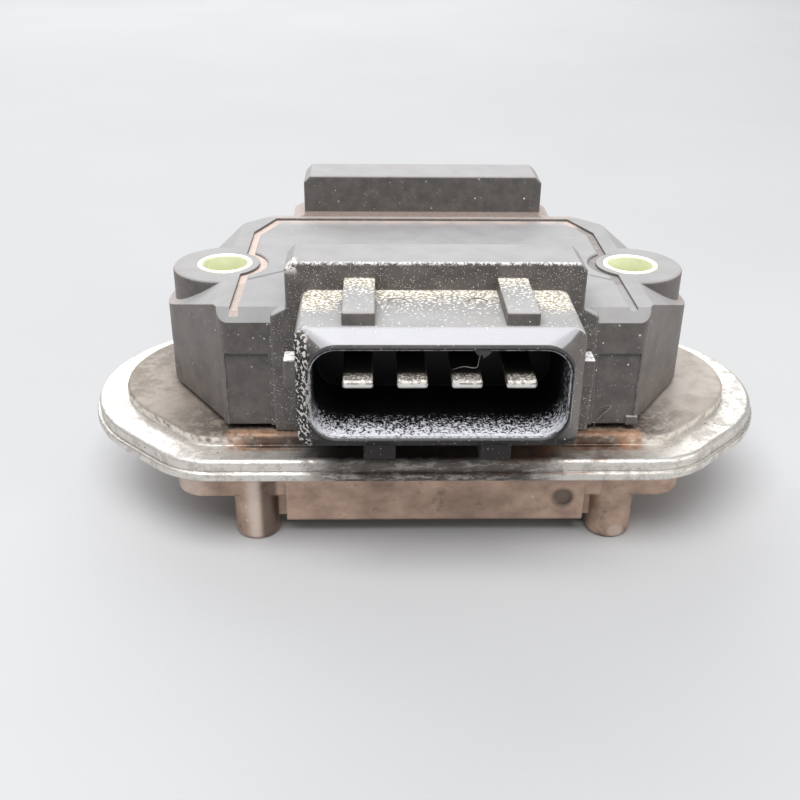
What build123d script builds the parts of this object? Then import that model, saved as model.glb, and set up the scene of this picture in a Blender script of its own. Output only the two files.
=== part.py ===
from build123d import *
import math
import os

# Three-channel ignition output stage: a plastic power module with a four-way signal
# connector in front and a three-way coil connector behind, on a cast heat-sink flange.
# Millimetres. The origin is midway between the two mounting bores, on the flange's
# lower sealing face. +X right, +Y from the signal connector to the coil connector, +Z up.

# ---------------------------------------------------------------- driving dimensions
# heat-sink casting
plate_half_depth = 18.2
plate_end_inset = 0.75
plate_end_narrowing = 2.0
plate_flank_angle = 46.5
plate_corner_radius = 9.0
plate_lower_thickness = 0.95
plate_upper_thickness = 1.3
plate_parting_step = 0.35
plate_top_rounding = 0.5
plate_edge_rounding = 0.25
pad_inset = 3.6
pad_height = 1.25
pad_rounding = 0.4
spigot_end_margin = 4.95
spigot_side_margin = 4.1
spigot_corner_radius = 3.0
spigot_depth = 4.5
spigot_rounding = 0.5
fin_count = 7
fin_block_offset = 0.55
fin_end_margin = 6.35
fin_end_overlap = 0.5
fin_reach = 7.45
fin_root_thickness = 2.3
fin_tip_thickness = 1.7
fin_row_inset = 0.65
fin_tip_rounding = 0.5
post_end_margin = 3.0
post_side_margin = 1.9
post_radius = 2.45
post_reach = 9.65
post_rounding = 0.6
web_thickness = 1.4
ejector_mark_x = 13.7
ejector_mark_z = -4.4
ejector_mark_radius = 0.95
ejector_mark_depth = 0.4

# mounting bores
bore_overhang = 0.7
bore_radius = 2.45
bushing_wall = 0.6
bushing_stand_out = 0.1
bushing_rounding = 0.2

# module housing
housing_gap = 0.66
housing_height = 12.69
housing_half_width = 21.65
housing_front = -13.7
housing_rear = 17.4
housing_rear_corner = 3.0
housing_front_corner = 1.2
top_edge_setback = 1.2
top_edge_drop = 1.2
ear_wall = 2.55
ear_rounding = 0.35
wing_margin = 0.8
wing_root_overlap = 0.05
wing_roof_setback = 0.35
wing_roof_angle = 31.0
front_panel_gap = 0.4
front_panel_margin = 0.65
front_panel_top = 8.1
front_panel_depth = 0.3
foot_width = 1.2
foot_height = 0.9
foot_overhang = 0.4
foot_depth = 1.0

# connector flanges
flange_proud = 0.2
flange_thickness = 5.6
flange_upper_margin = 1.45
flange_lower_margin = 3.0
flange_rise = 5.15
flange_corner = 0.8
flange_step_slope = 0.4
flange_pad_clearance = 0.1
flange_rounding = 0.25

# connector hoods
terminal_pitch = 5.0
signal_ways = 4
coil_ways = 3
hood_side_margin = 5.7
hood_lift = 2.8
hood_drop = 2.84
hood_reach = 10.15
hood_wall = 1.55
hood_corner_radius = 1.2
hood_rim_taper = 1.2
hood_rim_corner_radius = 2.6
hood_shoulder_rounding = 0.3
rib_rounding = 0.2
socket_side_wall = 1.4
socket_corner_radius = 2.4
socket_depth = 10.85
socket_top_margin = 1.9
mouth_rounding = 0.3
hood_mark_x = 3.8
hood_mark_setback = 2.8
hood_mark_radius = 0.9
hood_mark_depth = 0.12
coding_rib_width = 1.2
coding_rib_height = 0.9
coding_rib_setback = 2.2
rail_inner = 5.9
rail_width = 3.02
rail_height = 1.27
rail_setback = 0.25
rail_side_margin = 0.6
lug_centre = 5.5
lug_width = 3.05
lug_height = 1.55
side_rib_width = 1.1
side_rib_length = 2.1
side_rib_top = 1.95
side_rib_bottom = -0.95
side_rib_setback = 1.6

# terminals
blade_width = 2.8
blade_thickness = 0.8
blade_recess = 0.45
blade_edge_rounding = 0.25
blade_tip_chamfer = 0.2
anchor_overhang = 0.55
anchor_length = 1.6
anchor_depth = 2.2
blade_depth = 3.1
leg_clearance = 0.2
foot_length = 3.2

# chamber inside the housing
chamber_side_wall = 5.35
chamber_front_wall = 1.3
chamber_rear_wall = 3.4
chamber_roof = 2.25
shelf_rise = 2.2
shelf_length = 3.8
cover_thickness = 1.6
cover_side_margin = 2.2
cover_front_margin = 6.1
cover_front_corner_width = 3.85
cover_front_corner_depth = 2.7
cover_rear_margin = 1.95
cover_rear_corner_x = 2.2
cover_rear_corner_y = 5.4
cover_ear_wall = 0.75
cover_ledge = 1.4
cover_bead_width = 0.85
cover_front_seam = 0.3
cover_bead_recess = 0.3
cover_edge_rounding = 0.15
channel_depth = 0.3

# base plate and its bead
base_plate_thickness = 2.0
base_plate_side_margin = 4.15
base_plate_front_margin = 5.1
base_plate_rear_margin = 1.8
base_plate_corner = 2.0
base_bead_width = 0.5
base_bead_recess = 0.1
paste_thickness = 0.1
paste_inset = 1.0

# hybrid circuit
glue_thickness = 0.1
glue_inset = 0.4
substrate_side_gap = 1.3
substrate_end_gap = 4.6
substrate_thickness = 0.63
spreader_gap = 2.8
spreader_end_margin = 2.3
spreader_rear_margin = 0.9
spreader_thickness = 1.0
die_inset = 1.0
die_thickness = 0.4
driver_chip_size = (8.0, 2.4, 1.1)
driver_chip_margin = 3.0
resistor_size = (1.6, 0.8, 0.5)
resistor_x = (6.2, 9.0, 11.8)
resistor_margin = 2.0
capacitor_size = (1.25, 2.0, 1.1)
capacitor_end_margin = 0.9
capacitor_margins = (4.0, 6.8)
print_pad_size = (1.8, 0.9)
print_pad_margin = 0.8
print_thickness = 0.06
wire_radius = 0.15
wire_rise = 1.3
wire_pair_pitch = 1.2
bond_margin = 0.8
gel_depth = 5.6

# how far joined solids run into each other, how far cutters run past a face, and a cutter's far side
overlap = 0.5
seam = 0.1
overrun = 1.0
far = 60.0

# ---------------------------------------------------------------- derived values
bore_x = housing_half_width + bore_overhang
plate_end_x = bore_x - plate_end_inset
plate_end_radius = plate_half_depth - plate_end_narrowing
spigot_half_length = bore_x + spigot_end_margin
spigot_half_depth = plate_half_depth - spigot_side_margin
fin_half_length = bore_x - fin_end_margin
fin_span = 2 * (spigot_half_depth - fin_row_inset)
post_x = bore_x - post_end_margin
post_y = spigot_half_depth - post_side_margin
plate_top = plate_lower_thickness + plate_upper_thickness
pad_top = plate_top + pad_height
housing_bottom = pad_top + housing_gap
housing_top = housing_bottom + housing_height
bushing_radius = bore_radius + bushing_wall
ear_radius = bushing_radius + ear_wall
wing_radius = ear_radius + wing_margin
signal_hood_half_width = (signal_ways - 1) * terminal_pitch / 2 + hood_side_margin
flange_upper_half_width = signal_hood_half_width + flange_upper_margin
flange_lower_half_width = signal_hood_half_width + flange_lower_margin
flange_top = housing_top + flange_rise
front_flange_face = housing_front - flange_proud
front_flange_back = front_flange_face + flange_thickness
rear_flange_face = housing_rear + flange_thickness
front_panel_inner = flange_lower_half_width + front_panel_gap
front_panel_outer = housing_half_width - front_panel_margin
rim_y = front_flange_face - hood_reach
blade_z = housing_top - blade_depth
hood_bottom = housing_bottom + hood_lift
hood_top = flange_top - hood_drop
hood_height = hood_top - hood_bottom
hood_z = (hood_bottom + hood_top) / 2
socket_roof = hood_top - socket_top_margin
anchor_width = blade_width + 2 * anchor_overhang
chamber_half_width = housing_half_width - chamber_side_wall
chamber_front = front_flange_back + chamber_front_wall
chamber_rear = housing_rear - chamber_rear_wall
cover_bottom = housing_top - cover_thickness
cover_half_width = housing_half_width - cover_side_margin
cover_front = front_flange_back + cover_front_margin
cover_front_corner_x = cover_half_width - cover_front_corner_width
cover_rear = housing_rear - cover_rear_margin
base_plate_half_width = housing_half_width - base_plate_side_margin
base_plate_front = housing_front + base_plate_front_margin
base_plate_rear = housing_rear - base_plate_rear_margin
base_plate_bottom = pad_top + paste_thickness
base_plate_top = base_plate_bottom + base_plate_thickness
shelf_top = base_plate_top + shelf_rise
foot_top = shelf_top + blade_thickness
ceiling_z = housing_top - chamber_roof
substrate_half_length = chamber_half_width - substrate_side_gap
substrate_front = chamber_front + substrate_end_gap
substrate_rear = chamber_rear - substrate_end_gap
substrate_bottom = base_plate_top + glue_thickness
substrate_top = substrate_bottom + substrate_thickness
spreader_top = substrate_top + spreader_thickness
die_top = spreader_top + die_thickness
print_top = substrate_top + print_thickness
channel_pitch = (2 * (substrate_half_length - spreader_end_margin) + spreader_gap) / coil_ways
spreader_size = channel_pitch - spreader_gap
die_size = spreader_size - 2 * die_inset
power_row_y = substrate_rear - spreader_rear_margin - spreader_size / 2
driver_chip_y = substrate_front + driver_chip_margin
resistor_y = substrate_front + resistor_margin
capacitor_x = substrate_half_length - capacitor_end_margin
gel_top = base_plate_top + gel_depth


# ---------------------------------------------------------------- small helpers
def box(x0, x1, y0, y1, z0, z1):
    """A block between two corners."""
    centre = Pos((x0 + x1) / 2, (y0 + y1) / 2, (z0 + z1) / 2)
    return centre * Box(abs(x1 - x0), abs(y1 - y0), abs(z1 - z0))


def both_sides(solid):
    """A solid together with its mirror image across the YZ plane."""
    return solid + mirror(solid, Plane.YZ)


def upright(x, y, z0, z1, radius):
    """A vertical cylinder from z0 to z1."""
    return Pos(x, y, (z0 + z1) / 2) * Cylinder(radius, z1 - z0)


def prism(face, z0, z1):
    """A flat face on the XY plane raised into a solid from z0 to z1."""
    return Pos(0, 0, z0) * extrude(face, z1 - z0, dir=(0, 0, 1))


def rounded_slot_face(half_width, height, radius, y, z):
    """A rounded rectangle standing on the XZ plane at depth y, centred on height z."""
    standing = Plane(origin=(0, y, z), x_dir=(1, 0, 0), z_dir=(0, -1, 0))
    return standing * RectangleRounded(2 * half_width, height, radius)


def ways_x(ways):
    """The X places of a row of terminals."""
    return [(i - (ways - 1) / 2) * terminal_pitch for i in range(ways)]


def channel_x():
    """The X places of the three power channels."""
    return [(i - (coil_ways - 1) / 2) * channel_pitch for i in range(coil_ways)]


# ---------------------------------------------------------------- heat-sink casting
def flange_outline(inset):
    """The plan of the flange: straight front and rear, slanted flanks, round ends."""
    half_depth = plate_half_depth - inset
    radius = plate_end_radius - inset
    angle = math.radians(plate_flank_angle)
    tangent_x = plate_end_x + radius * math.cos(angle)
    tangent_y = radius * math.sin(angle)
    corner_x = plate_end_x + (radius - half_depth * math.sin(angle)) / math.cos(angle)
    right = [Line((corner_x, half_depth), (tangent_x, tangent_y)),
             ThreePointArc((tangent_x, tangent_y), (plate_end_x + radius, 0), (tangent_x, -tangent_y)),
             Line((tangent_x, -tangent_y), (corner_x, -half_depth))]
    left = [mirror(edge, Plane.YZ) for edge in right]
    ends = [Line((-corner_x, y), (corner_x, y)) for y in (-half_depth, half_depth)]
    outline = make_face([*right, *left, *ends])
    corners = [v for v in outline.vertices() if abs(abs(v.Y) - half_depth) < 0.001]
    return fillet(corners, plate_corner_radius - inset)


def edges_at(solid, z):
    """The edges of a solid that lie flat at one height."""
    return solid.edges().filter_by_position(Axis.Z, z - 0.001, z + 0.001)


def make_fin(y):
    """One tapered cooling fin that runs along X."""
    root = fin_root_thickness / 2
    tip = fin_tip_thickness / 2
    side = Plane(origin=(-fin_half_length, y, 0), x_dir=(0, 1, 0), z_dir=(1, 0, 0))
    profile = side * Polygon((-root, 0), (root, 0), (tip, -fin_reach), (-tip, -fin_reach), align=None)
    fin = extrude(profile, 2 * fin_half_length, dir=(1, 0, 0))
    return fillet(edges_at(fin, -fin_reach).filter_by(Axis.X), fin_tip_rounding)


def make_post(x, y):
    """One corner post, tied to the end of the nearest fin by a web."""
    post = upright(x, y, -post_reach, 0, post_radius)
    post = fillet(edges_at(post, -post_reach), post_rounding)
    fin_end = math.copysign(fin_half_length - fin_end_overlap, x)
    return post + box(fin_end, x, y - web_thickness / 2, y + web_thickness / 2, -fin_reach, 0)


def make_fin_block():
    """The row of fins with a post at each corner and a round ejector mark in the front face."""
    block = make_fin(-fin_span / 2)
    for i in range(1, fin_count):
        block += make_fin((i / (fin_count - 1) - 0.5) * fin_span)
    for x in (-post_x, post_x):
        for y in (-post_y, post_y):
            block += make_post(x, y)
    face_y = -(fin_span + fin_root_thickness) / 2
    mark = Plane(origin=(ejector_mark_x, face_y + ejector_mark_depth, ejector_mark_z), z_dir=(0, -1, 0))
    block -= extrude(mark * Circle(ejector_mark_radius), overrun, dir=(0, -1, 0))
    return Pos(fin_block_offset, 0, 0) * block


def make_heat_sink():
    """The cast flange plate with its pad, spigot, fins and corner posts."""
    lower = prism(flange_outline(0), 0, plate_lower_thickness)
    lower = fillet(edges_at(lower, 0) + edges_at(lower, plate_lower_thickness), plate_edge_rounding)
    upper = prism(flange_outline(plate_parting_step), plate_lower_thickness, plate_top)
    upper = fillet(edges_at(upper, plate_top), plate_top_rounding)
    pad = prism(flange_outline(pad_inset), plate_top, pad_top)
    pad = fillet(edges_at(pad, pad_top), pad_rounding)
    spigot_face = RectangleRounded(2 * spigot_half_length, 2 * spigot_half_depth, spigot_corner_radius)
    spigot = prism(spigot_face, -spigot_depth, 0)
    spigot = fillet(edges_at(spigot, -spigot_depth), spigot_rounding)
    casting = lower + upper + pad + spigot + make_fin_block()
    for x in (-bore_x, bore_x):
        casting -= upright(x, 0, -spigot_depth - overrun, pad_top + overrun, bore_radius)
    return casting


# ---------------------------------------------------------------- module housing
def housing_plan():
    """The plan of the housing without its ears."""
    rear_x = housing_half_width - housing_rear_corner
    points = [(housing_half_width, housing_front), (housing_half_width, housing_rear - housing_rear_corner),
              (rear_x, housing_rear)]
    left = [(-x, y) for x, y in reversed(points)]
    plan = Polygon(*points, *left, align=None)
    corners = [v for v in plan.vertices() if abs(v.Y - housing_front) < 0.001]
    return fillet(corners, housing_front_corner)


def tangent_point(from_x, from_y, side):
    """Where a wall from one corner touches the wing's circle on its outer side."""
    dx = from_x - bore_x
    reach = math.hypot(dx, from_y)
    swing = math.acos(wing_radius / reach)
    angle = math.atan2(from_y, dx) + side * swing
    return (bore_x + wing_radius * math.cos(angle), wing_radius * math.sin(angle))


def wing_plan():
    """The plan of one ear's gusset: walls from the corners, tangent to a round end."""
    root_x = housing_half_width - wing_root_overlap
    front_start = (root_x, housing_front + housing_front_corner)
    rear_start = (root_x, housing_rear - housing_rear_corner)
    points = [front_start, tangent_point(*front_start, 1), (bore_x, 0),
              tangent_point(*rear_start, -1), rear_start, (housing_half_width - 2, 0)]
    return Polygon(*points, align=None) + Pos(bore_x, 0) * Circle(wing_radius)


def wing_roof():
    """The space under the sloped tops of the wings."""
    start = bore_x - wing_roof_setback
    outer = bore_x + wing_radius + overrun
    drop = (outer - start) * math.tan(math.radians(wing_roof_angle))
    points = [(start, housing_top), (outer, housing_top - drop), (outer, housing_bottom)]
    left = [(-x, z) for x, z in reversed(points)]
    face = Plane.XZ * Polygon(*points, *left, align=None)
    return extrude(face, far, both=True)


def top_edge_wedge():
    """The wedge that bevels the front top edge."""
    side = Plane(origin=(-far, 0, 0), x_dir=(0, 1, 0), z_dir=(1, 0, 0))
    points = [(housing_front, housing_top - top_edge_drop), (housing_front + top_edge_setback, housing_top),
              (housing_front + top_edge_setback, housing_top + overrun),
              (housing_front - overrun, housing_top + overrun),
              (housing_front - overrun, housing_top - top_edge_drop)]
    return extrude(side * Polygon(*points, align=None), 2 * far, dir=(1, 0, 0))


def make_flange(face_y, back_y, bottom_z):
    """A connector flange: a narrow upper slab on a wider lower slab."""
    step_z = housing_top + flange_step_slope
    points = [(flange_upper_half_width - flange_corner, flange_top),
              (flange_upper_half_width, flange_top - flange_corner),
              (flange_upper_half_width, step_z),
              (flange_lower_half_width, housing_top - flange_step_slope),
              (flange_lower_half_width, bottom_z)]
    left = [(-x, z) for x, z in reversed(points)]
    face = Plane.XZ * Polygon(*points, *left, align=None)
    slab = extrude(face, abs(face_y - back_y) / 2, both=True)
    upper_edges = slab.edges().filter_by_position(Axis.Z, bottom_z + seam, flange_top + seam)
    slab = fillet(upper_edges, flange_rounding)
    return Pos(0, (face_y + back_y) / 2, 0) * slab


def hood_half_width(ways):
    """Half the outer width of a hood for a number of terminals."""
    return signal_hood_half_width - (signal_ways - ways) * terminal_pitch / 2


def make_rails(half, taper_y):
    """The pair of guide rails on top of a hood."""
    outer = min(rail_inner + rail_width, half - rail_side_margin)
    rail = box(outer - rail_width, outer, taper_y + rail_setback, front_flange_face + overlap,
               hood_top - overlap, hood_top + rail_height)
    return both_sides(fillet(rail.edges(), rib_rounding))


def make_hood(ways):
    """A connector hood that opens towards -Y, with its lugs and ribs, before the socket is cut."""
    half = hood_half_width(ways)
    taper_y = rim_y + hood_rim_taper
    shoulder = rounded_slot_face(half, hood_height, hood_corner_radius, taper_y, hood_z)
    rim = rounded_slot_face(half - hood_rim_taper, hood_height - 2 * hood_rim_taper,
                            hood_rim_corner_radius, rim_y, hood_z)
    hood = extrude(shoulder, front_flange_face - taper_y + overlap, dir=(0, 1, 0))
    hood += loft([shoulder, rim])
    shoulder_edges = hood.edges().filter_by_position(Axis.Y, taper_y - 0.001, taper_y + 0.001)
    hood = fillet(shoulder_edges, hood_shoulder_rounding)
    lug = box(lug_centre - lug_width / 2, lug_centre + lug_width / 2, taper_y, front_flange_face + overlap,
              hood_bottom - lug_height, hood_bottom + overlap)
    rib_y = rim_y + side_rib_setback
    side_rib = box(half - overlap, half + side_rib_width, rib_y, rib_y + side_rib_length,
                   blade_z + side_rib_bottom, blade_z + side_rib_top)
    for part in (lug, side_rib):
        hood += both_sides(fillet(part.edges(), rib_rounding))
    if ways == signal_ways:
        hood += make_rails(half, taper_y)
    mark = upright(hood_mark_x, front_flange_face - hood_mark_setback, hood_top - hood_mark_depth,
                   hood_top + overrun, hood_mark_radius)
    return hood - both_sides(mark)


def make_socket(ways):
    """The space inside a hood, open towards -Y, with coding ribs left standing in its roof."""
    half = hood_half_width(ways) - socket_side_wall
    bottom = hood_bottom + hood_wall
    mouth = rounded_slot_face(half, socket_roof - bottom, socket_corner_radius, rim_y - overlap,
                              (socket_roof + bottom) / 2)
    socket = extrude(mouth, socket_depth + overlap, dir=(0, 1, 0))
    wide = rounded_slot_face(half + mouth_rounding, socket_roof - bottom + 2 * mouth_rounding,
                             socket_corner_radius + mouth_rounding, rim_y, (socket_roof + bottom) / 2)
    narrow = rounded_slot_face(half, socket_roof - bottom, socket_corner_radius,
                               rim_y + mouth_rounding, (socket_roof + bottom) / 2)
    socket += loft([wide, narrow])
    places = ways_x(ways)
    for left, right in zip(places, places[1:]):
        middle = (left + right) / 2
        socket -= box(middle - coding_rib_width / 2, middle + coding_rib_width / 2,
                      rim_y + coding_rib_setback, rim_y + socket_depth + overrun,
                      socket_roof - coding_rib_height, socket_roof + overrun)
    return socket


def turned_to_rear(solid):
    """The front connector's geometry turned about Z to stand on the rear flange."""
    return Pos(0, rear_flange_face + front_flange_face, 0) * Rot(0, 0, 180) * solid


def cover_plan(side_gap, front_gap, ear_gap):
    """The plan of the cover, grown by a gap on its sides, its front and round the ears."""
    half = cover_half_width + side_gap
    front = cover_front - front_gap
    rear = cover_rear + side_gap
    slope = cover_front_corner_depth / (cover_half_width - cover_front_corner_x)
    points = [(cover_front_corner_x, front), (half, front - slope * (half - cover_front_corner_x)),
              (half, rear - cover_rear_corner_y), (half - cover_rear_corner_x, rear)]
    left = [(-x, y) for x, y in reversed(points)]
    plan = Polygon(*points, *left, align=None)
    scallop = bushing_radius + cover_ear_wall + cover_bead_width - ear_gap
    for x in (-bore_x, bore_x):
        plan -= Pos(x, 0) * Circle(scallop)
    return plan


def pocket_plan():
    """The plan of the pocket that the cover and its bead lie in."""
    return cover_plan(cover_bead_width, cover_front_seam, cover_bead_width)


def front_recesses():
    """The recessed panels in the front face and the channels that run on from the cover's gap."""
    panel = box(front_panel_inner, front_panel_outer,
                housing_front - overrun, housing_front + front_panel_depth,
                housing_bottom - overrun, housing_bottom + front_panel_top)
    channel_x = cover_half_width + cover_bead_width / 2
    channel = box(channel_x - cover_bead_width / 2, channel_x + cover_bead_width / 2,
                  housing_front - overrun, cover_front - cover_front_corner_depth,
                  housing_top - channel_depth, housing_top + overrun)
    return both_sides(panel + channel)


def make_housing(terminals):
    """The moulded housing with both connector hoods, the ears and the chamber."""
    body = prism(housing_plan(), housing_bottom, housing_top)
    wings = both_sides(prism(wing_plan(), housing_bottom, housing_top)) & wing_roof()
    body += wings
    body -= top_edge_wedge()
    ear = upright(bore_x, 0, housing_bottom, housing_top, ear_radius)
    ear = fillet(edges_at(ear, housing_top), ear_rounding)
    body += both_sides(ear)
    body -= front_recesses()
    foot_outer = front_panel_outer + foot_overhang
    body += box(foot_outer - foot_width, foot_outer, housing_front, housing_front + foot_depth,
                housing_bottom, housing_bottom + foot_height)
    body += make_flange(front_flange_face, front_flange_back, pad_top + flange_pad_clearance)
    body += make_flange(rear_flange_face, housing_rear - overlap, housing_bottom)
    body += make_hood(signal_ways)
    body += turned_to_rear(make_hood(coil_ways))
    body -= make_socket(signal_ways)
    body -= turned_to_rear(make_socket(coil_ways))
    pocket = prism(pocket_plan(), cover_bottom, housing_top + overrun)
    body -= pocket - box(-far, far, housing_rear, far, -far, far)
    body -= box(-chamber_half_width, chamber_half_width, chamber_front, chamber_rear, shelf_top, ceiling_z)
    body -= box(-chamber_half_width, chamber_half_width, chamber_front + shelf_length,
                chamber_rear - shelf_length, housing_bottom, shelf_top + seam)
    body -= box(-chamber_half_width, chamber_half_width, cover_front + cover_ledge, chamber_rear,
                ceiling_z - seam, cover_bottom + seam)
    body -= prism(base_plate_plan(base_bead_width), housing_bottom - overrun, base_plate_top)
    for x in (-bore_x, bore_x):
        body -= upright(x, 0, housing_bottom - overrun, housing_top + overrun, bushing_radius)
    for terminal in terminals:
        body -= terminal
    return body


def make_cover():
    """The flat cover that closes the chamber from above."""
    cover = prism(cover_plan(0, 0, 0), cover_bottom, housing_top)
    return chamfer(edges_at(cover, housing_top), cover_edge_rounding)


def make_cover_bead():
    """The adhesive bead in the gap round the cover."""
    ring = pocket_plan() - cover_plan(0, 0, 0)
    return prism(ring, cover_bottom, housing_top - cover_bead_recess)


def make_bushing(x):
    """A steel compression sleeve that carries a mounting screw through one ear."""
    top = housing_top + bushing_stand_out
    sleeve = upright(x, 0, pad_top, top, bushing_radius)
    sleeve -= upright(x, 0, pad_top - overrun, top + overrun, bore_radius)
    return fillet(edges_at(sleeve, top), bushing_rounding)


# ---------------------------------------------------------------- terminals
def make_terminal(x, tip, leg, inward):
    """One terminal: blade, leg down the chamber wall, wire-bonding foot and moulded-in anchor."""
    half = blade_thickness / 2
    inner_leg = leg + inward * blade_thickness
    foot_end = leg + inward * foot_length
    side = Plane(origin=(x - blade_width / 2, 0, 0), x_dir=(0, 1, 0), z_dir=(1, 0, 0))
    points = [(tip, blade_z + half), (inner_leg, blade_z + half), (inner_leg, foot_top), (foot_end, foot_top),
              (foot_end, shelf_top), (leg, shelf_top), (leg, blade_z - half), (tip, blade_z - half)]
    terminal = extrude(side * Polygon(*points, align=None), blade_width, dir=(1, 0, 0))
    long_edges = terminal.edges().filter_by(Axis.Y)
    blade_edges = long_edges.filter_by_position(Axis.Z, blade_z - blade_thickness, blade_z + blade_thickness)
    terminal = fillet(blade_edges, blade_edge_rounding)
    tip_edges = terminal.edges().filter_by_position(Axis.Y, tip - 0.001, tip + 0.001)
    terminal = chamfer(tip_edges, blade_tip_chamfer)
    anchor_y = leg - inward * anchor_depth
    return terminal + box(x - anchor_width / 2, x + anchor_width / 2, anchor_y - inward * anchor_length,
                          anchor_y, blade_z - half, blade_z + half)


def make_signal_terminal(x):
    """A terminal of the front connector."""
    tip = rim_y + blade_recess
    return make_terminal(x, tip, chamber_front + leg_clearance, 1)


def make_coil_terminal(x):
    """A terminal of the rear connector."""
    tip = rear_flange_face + hood_reach - blade_recess
    return make_terminal(x, tip, chamber_rear - leg_clearance, -1)


# ---------------------------------------------------------------- base plate and films
def base_plate_plan(grow):
    """The plan of the module's base plate."""
    middle = (base_plate_front + base_plate_rear) / 2
    depth = base_plate_rear - base_plate_front
    return Pos(0, middle) * RectangleRounded(2 * (base_plate_half_width + grow), depth + 2 * grow,
                                             base_plate_corner + grow)


def make_base_bead():
    """The adhesive bead between the base plate's edge and the housing."""
    ring = base_plate_plan(base_bead_width) - base_plate_plan(0)
    return prism(ring, housing_bottom + base_bead_recess, base_plate_top)


# ---------------------------------------------------------------- hybrid circuit
def chip(x, y, z, size):
    """A small block standing on a surface."""
    return Pos(x, y, z + size[2] / 2) * Box(*size)


def make_resistors():
    """The chip resistors in a row beside the driver chip."""
    places = [side * x for side in (-1, 1) for x in resistor_x]
    return Compound([chip(x, resistor_y, substrate_top, resistor_size) for x in places])


def make_capacitors():
    """The chip capacitors near the ends of the ceramic."""
    places = [(side * capacitor_x, substrate_front + y) for side in (-1, 1) for y in capacitor_margins]
    return Compound([chip(x, y, substrate_top, capacitor_size) for x, y in places])


def make_print_pads():
    """The printed pads where the signal wires land."""
    size = (*print_pad_size, print_thickness)
    return Compound([chip(x, substrate_front + print_pad_margin, substrate_top, size)
                     for x in ways_x(signal_ways)])


def make_wire(start, end):
    """A thick bonding wire that arches from one point to another."""
    top = max(start[2], end[2]) + wire_rise
    middle = ((start[0] + end[0]) / 2, (start[1] + end[1]) / 2, top)
    arch = ThreePointArc(start, middle, end)
    section = Plane(origin=arch @ 0, z_dir=arch % 0) * Circle(wire_radius)
    return sweep(section, path=arch)


def make_signal_wires():
    """Wires from the signal feet to the ceramic."""
    foot_end = chamber_front + leg_clearance + foot_length
    pad_y = substrate_front + print_pad_margin
    wires = []
    for x in ways_x(signal_ways):
        wire = make_wire((x, foot_end - bond_margin, foot_top), (x, pad_y, print_top))
        wire -= box(x - 1, x + 1, chamber_front, foot_end, shelf_top, foot_top)
        wires.append(wire - box(x - 1, x + 1, substrate_front, pad_y + 1, substrate_bottom, print_top))
    return Compound(wires)


def make_coil_wires():
    """Pairs of wires from each power die to its coil foot."""
    foot_end = chamber_rear - leg_clearance - foot_length
    die_y = power_row_y + die_size / 2 - bond_margin
    wires = []
    for die_x, foot_x in zip(channel_x(), ways_x(coil_ways)):
        for shift in (-wire_pair_pitch / 2, wire_pair_pitch / 2):
            start = (die_x + shift, die_y, die_top)
            end = (foot_x + shift, foot_end + bond_margin, foot_top)
            wire = make_wire(start, end)
            wire -= chip(die_x, power_row_y, substrate_top, (die_size, die_size, die_top - substrate_top))
            wires.append(wire - box(foot_x - 2, foot_x + 2, foot_end, chamber_rear, shelf_top, foot_top))
    return Compound(wires)


def make_gel(contents):
    """The soft gel that covers the circuit on the chamber floor."""
    gel = box(-chamber_half_width, chamber_half_width, chamber_front, chamber_rear,
              shelf_top, gel_top)
    gel += box(-chamber_half_width, chamber_half_width, chamber_front + shelf_length,
               chamber_rear - shelf_length, base_plate_top, shelf_top + seam)
    for solid in contents:
        gel -= solid
    return gel


# ---------------------------------------------------------------- assembly
def make_parts():
    """Every named piece of the module."""
    parts = {}
    for i, x in enumerate(ways_x(signal_ways)):
        parts[f"signal_terminal_{i + 1}"] = make_signal_terminal(x)
    for i, x in enumerate(ways_x(coil_ways)):
        parts[f"coil_terminal_{i + 1}"] = make_coil_terminal(x)
    terminals = list(parts.values())
    parts["heat_sink"] = make_heat_sink()
    parts["housing"] = make_housing(terminals)
    parts["cover"] = make_cover()
    parts["cover_bead"] = make_cover_bead()
    parts["left_bushing"] = make_bushing(-bore_x)
    parts["right_bushing"] = make_bushing(bore_x)
    parts["base_plate"] = prism(base_plate_plan(0), base_plate_bottom, base_plate_top)
    parts["base_bead"] = make_base_bead()
    parts["thermal_paste"] = prism(base_plate_plan(-paste_inset), pad_top, base_plate_bottom)
    inner = {}
    glue_half_length = substrate_half_length - glue_inset
    inner["substrate_glue"] = box(-glue_half_length, glue_half_length, substrate_front + glue_inset,
                                  substrate_rear - glue_inset, base_plate_top, substrate_bottom)
    inner["ceramic_substrate"] = box(-substrate_half_length, substrate_half_length, substrate_front,
                                     substrate_rear, substrate_bottom, substrate_top)
    for i, x in enumerate(channel_x()):
        spreader = (spreader_size, spreader_size, spreader_thickness)
        die = (die_size, die_size, die_thickness)
        inner[f"heat_spreader_{i + 1}"] = chip(x, power_row_y, substrate_top, spreader)
        inner[f"power_die_{i + 1}"] = chip(x, power_row_y, spreader_top, die)
    inner["driver_chip"] = chip(0, driver_chip_y, substrate_top, driver_chip_size)
    inner["chip_resistors"] = make_resistors()
    inner["chip_capacitors"] = make_capacitors()
    inner["print_pads"] = make_print_pads()
    inner["signal_wires"] = make_signal_wires()
    inner["coil_wires"] = make_coil_wires()
    parts.update(inner)
    parts["silicone_gel"] = make_gel(terminals + list(inner.values()))
    return parts


os.makedirs("parts", exist_ok=True)
for name, solid in make_parts().items():
    export_step(solid, f"parts/{name}.step")
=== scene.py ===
import math
import random
from types import SimpleNamespace

import bpy
from mathutils import Matrix, Vector


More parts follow.
